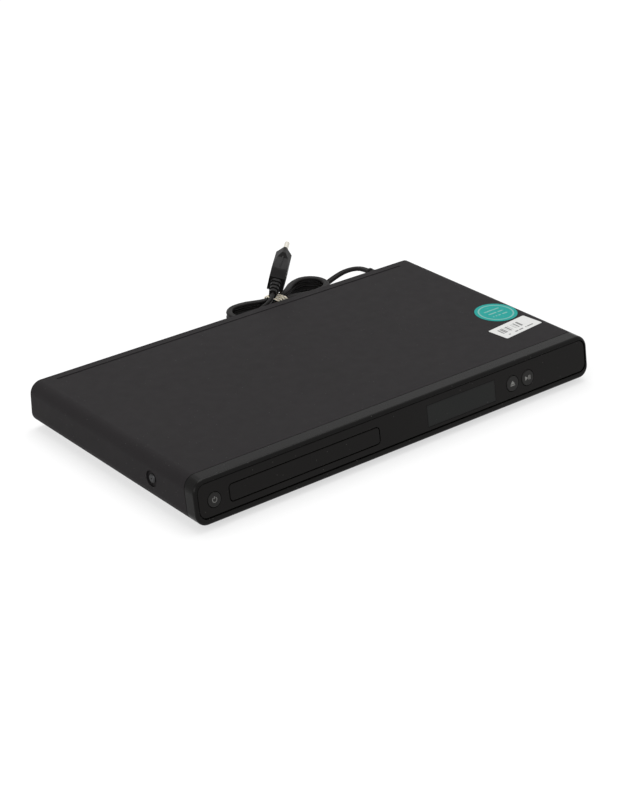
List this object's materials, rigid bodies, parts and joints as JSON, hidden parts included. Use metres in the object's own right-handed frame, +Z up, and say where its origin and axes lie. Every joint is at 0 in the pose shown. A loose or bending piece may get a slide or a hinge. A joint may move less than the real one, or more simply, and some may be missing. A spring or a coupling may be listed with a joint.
{
  "type": "disc player with tray",
  "caption": "Slim disc player with a motor-driven loading tray, lifting traverse, clamp, front keys and display window, rear sockets, and a flat mains lead folded and tied behind it.",
  "frame": {"origin": "middle of the casing with its sockets in plan, on the surface that the feet stand on", "axes": "+X to the right seen from the front, -Y towards the front, +Z up"},
  "size_m": [0.36, 0.257, 0.0595],
  "materials": {
    "cover_paint": "matte powder coat, charcoal",
    "zinc_sheet": "zinc-plated sheet",
    "front_black": "semi-gloss black",
    "fascia_black": "high-gloss brown-black",
    "window_smoke": "smoked clear plastic, glossy",
    "key_black": "brushed dark grey",
    "white_plastic": "natural white",
    "black_plastic": "fine grain black",
    "switch_metal": "plain",
    "board_green": "solder resist",
    "display_dark": "dark",
    "screw_black": "black plated",
    "screw_steel": "plain",
    "rubber_black": "matte",
    "label_teal": "glossy label",
    "label_white": "matte label",
    "magnet_grey": "sintered",
    "motor_steel": "plain",
    "brass": "plain",
    "rod_steel": "ground",
    "pickup_alloy": "die-cast",
    "lens_glass": "coated",
    "chip_black": "moulded",
    "ribbon_grey": "flat cable",
    "socket_metal": "nickel",
    "socket_black": "moulded",
    "coil_yellow": "wound and taped",
    "component_blue": "sleeved",
    "heatsink_alloy": "plain",
    "cord_black": "smooth",
    "plug_black": "moulded, half gloss",
    "pin_nickel": "nickel",
    "band_cream": "natural"
  },
  "bodies": {
    "player": {"top_cover": "cover_paint", "bottom_chassis": "zinc_sheet", "rear_panel": "zinc_sheet", "front_panel": "front_black", "front_fascia": "fascia_black", "display_window": "window_smoke", "tact_switches": "switch_metal", "front_boards": "board_green", "display_module": "display_dark", "cover_screws": "screw_black", "feet": "rubber_black", "round_sticker": "label_teal", "blank_label": "label_white", "loader_frame": "black_plastic", "loader_screws": "screw_steel", "clamp_bridge": "zinc_sheet", "loading_motor": "motor_steel", "drive_belt": "rubber_black", "main_board": "board_green", "main_board_chips": "chip_black", "ribbon_cables": "ribbon_grey", "hdmi_socket": "socket_metal", "scart_socket": "socket_black", "phono_sockets": "socket_metal", "board_screws": "screw_steel", "power_board": "board_green", "transformer": "coil_yellow", "power_components": "component_blue", "heatsink": "heatsink_alloy", "strain_relief": "cord_black", "cord_lead": "cord_black", "cord_hank": "cord_black", "plug": "plug_black", "plug_pins": "pin_nickel", "rubber_band": "band_cream"},
    "tray": {"disc_tray": "black_plastic", "tray_door": "fascia_black"},
    "drive_wheel": {"drive_gear": "white_plastic"},
    "belt_wheel": {"pulley_gear": "white_plastic"},
    "motor_wheel": {"motor_pulley": "brass"},
    "cam": {"cam_slide": "white_plastic"},
    "traverse": {"lift_frame": "black_plastic", "dampers": "rubber_black", "damper_screws": "screw_steel", "traverse_deck": "zinc_sheet", "guide_rods": "rod_steel", "spindle_motor": "motor_steel", "sled_motor": "motor_steel"},
    "disc_hub": {"turntable": "black_plastic"},
    "pickup": {"pickup_body": "pickup_alloy", "pickup_lens": "lens_glass"},
    "screw": {"lead_screw": "rod_steel"},
    "clamp": {"clamp_puck": "black_plastic", "clamp_magnet": "magnet_grey"},
    "power_key": {"power_button": "key_black", "power_plunger": "white_plastic"},
    "eject_key": {"eject_button": "key_black", "eject_plunger": "white_plastic"},
    "play_key": {"play_button": "key_black", "play_plunger": "white_plastic"}
  },
  "joints": [
    {"name": "tray_slide", "type": "slide", "parent": "player", "child": "tray", "axis": [0, -1, 0], "range_m": [0, 0.145]},
    {"name": "drive_wheel_spin", "type": "hinge", "parent": "player", "child": "drive_wheel", "pos_m": [-0.1327, -0.07249, 0.012], "axis": [0, 0, 1], "range_deg": [0, 960]},
    {"name": "belt_wheel_spin", "type": "hinge", "parent": "player", "child": "belt_wheel", "pos_m": [-0.1103, -0.07249, 0.012], "axis": [0, 0, 1], "range_deg": [-3500, 0]},
    {"name": "motor_wheel_spin", "type": "hinge", "parent": "player", "child": "motor_wheel", "pos_m": [-0.0803, -0.07249, 0.012], "axis": [0, 0, 1], "range_deg": [-11500, 0]},
    {"name": "traverse_lift", "type": "hinge", "parent": "player", "child": "traverse", "pos_m": [-0.0877, 0.07231, 0.0126], "axis": [-1, 0, 0], "range_deg": [0, 3.49]},
    {"name": "cam_shift", "type": "slide", "parent": "player", "child": "cam", "axis": [1, 0, 0], "range_m": [0, 0.0101]},
    {"name": "disc_spin", "type": "hinge", "parent": "traverse", "child": "disc_hub", "pos_m": [-0.0877, -0.01999, 0.01459], "axis": [0, -0.0609, 0.9981], "continuous": true},
    {"name": "clamp_spin", "type": "hinge", "parent": "player", "child": "clamp", "pos_m": [-0.0877, -0.01969, 0.022], "axis": [0, 0, 1], "continuous": true},
    {"name": "pickup_slide", "type": "slide", "parent": "traverse", "child": "pickup", "axis": [0, 0.9981, 0.0609], "range_m": [0, 0.033]},
    {"name": "screw_spin", "type": "hinge", "parent": "traverse", "child": "screw", "pos_m": [-0.0567, 0.01642, 0.00899], "axis": [0, 0.9981, 0.0609], "range_deg": [0, 4000]},
    {"name": "power_press", "type": "slide", "parent": "player", "child": "power_key", "axis": [0, 0.9872, -0.1593], "range_m": [0, 0.0006], "stiffness_N_per_m": 900},
    {"name": "eject_press", "type": "slide", "parent": "player", "child": "eject_key", "axis": [0, 0.9872, -0.1593], "range_m": [0, 0.0006], "stiffness_N_per_m": 900},
    {"name": "play_press", "type": "slide", "parent": "player", "child": "play_key", "axis": [0, 0.9872, -0.1593], "range_m": [0, 0.0006], "stiffness_N_per_m": 900}
  ],
  "couplings": [
    {"joint": "drive_wheel_spin", "follows": "tray_slide", "rad_per_m": 111.11},
    {"joint": "belt_wheel_spin", "follows": "tray_slide", "rad_per_m": -407.41},
    {"joint": "motor_wheel_spin", "follows": "tray_slide", "rad_per_m": -1371.6},
    {"joint": "cam_shift", "follows": "traverse_lift", "m_per_rad": 0.16418},
    {"joint": "screw_spin", "follows": "pickup_slide", "rad_per_m": 2094.4}
  ]
}
